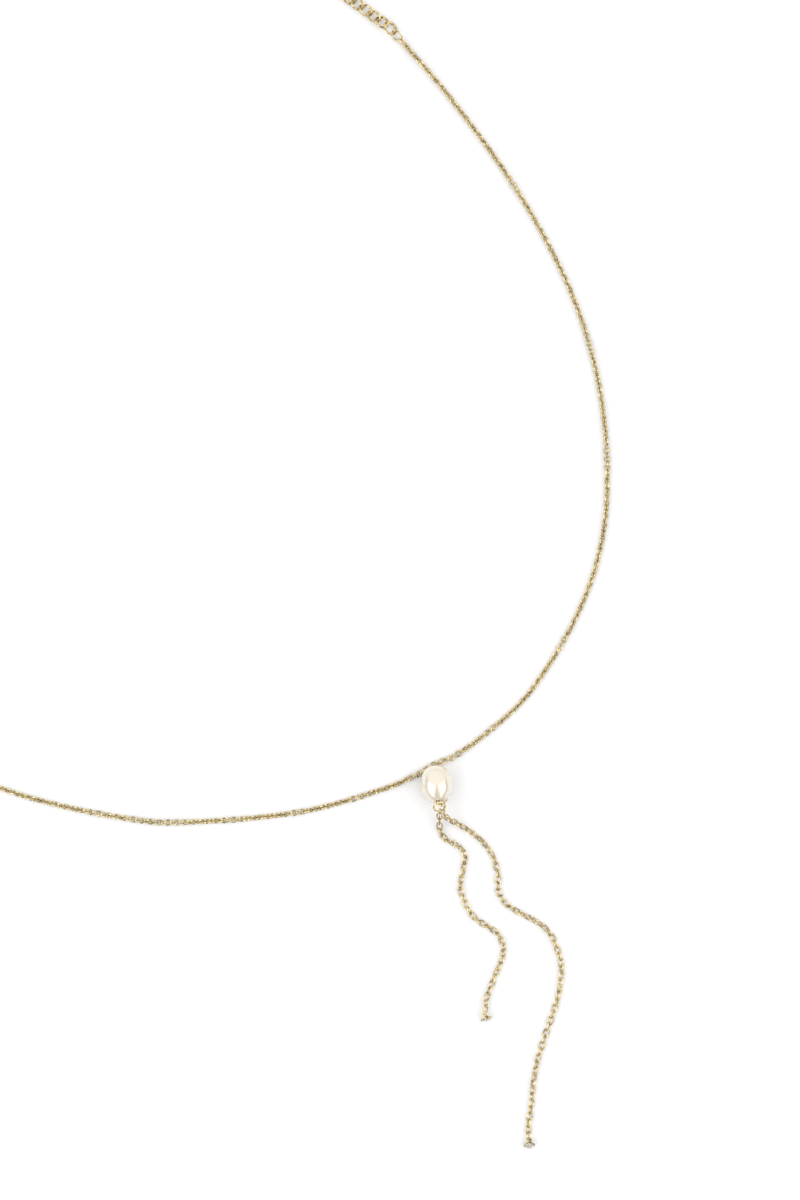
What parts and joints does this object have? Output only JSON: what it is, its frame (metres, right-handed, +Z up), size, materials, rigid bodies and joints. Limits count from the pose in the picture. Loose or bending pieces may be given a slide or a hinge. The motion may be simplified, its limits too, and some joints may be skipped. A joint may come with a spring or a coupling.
{
  "type": "chain necklace with a pearl and two hanging tails",
  "caption": "Fine gold-plated chain necklace with an oval pearl, two hanging chain tails that end in small clear stones, and an extension chain with a ring clasp.",
  "frame": {"origin": "middle of the bounding box on the surface that the necklace lies on", "axes": "+Z up from the surface, +Y towards the hidden back of the neck, -Y towards the tails"},
  "size_m": [0.1818, 0.2331, 0.0062],
  "materials": {
    "gold": "polished",
    "pearl": "satin",
    "crystal": "polished"
  },
  "bodies": {
    "root": {"main_chain_right": "gold", "main_chain_left": "gold", "pendant_link": "gold", "pearl": "pearl", "pearl_pin": "gold", "tail_ring": "gold", "short_tail": "gold", "long_tail": "gold", "short_setting": "gold", "long_setting": "gold", "short_stone": "crystal", "long_stone": "crystal", "oval_link": "gold", "extension_ring": "gold", "extension_chain": "gold", "clasp": "gold", "clasp_ring": "gold"}
  },
  "joints": []
}
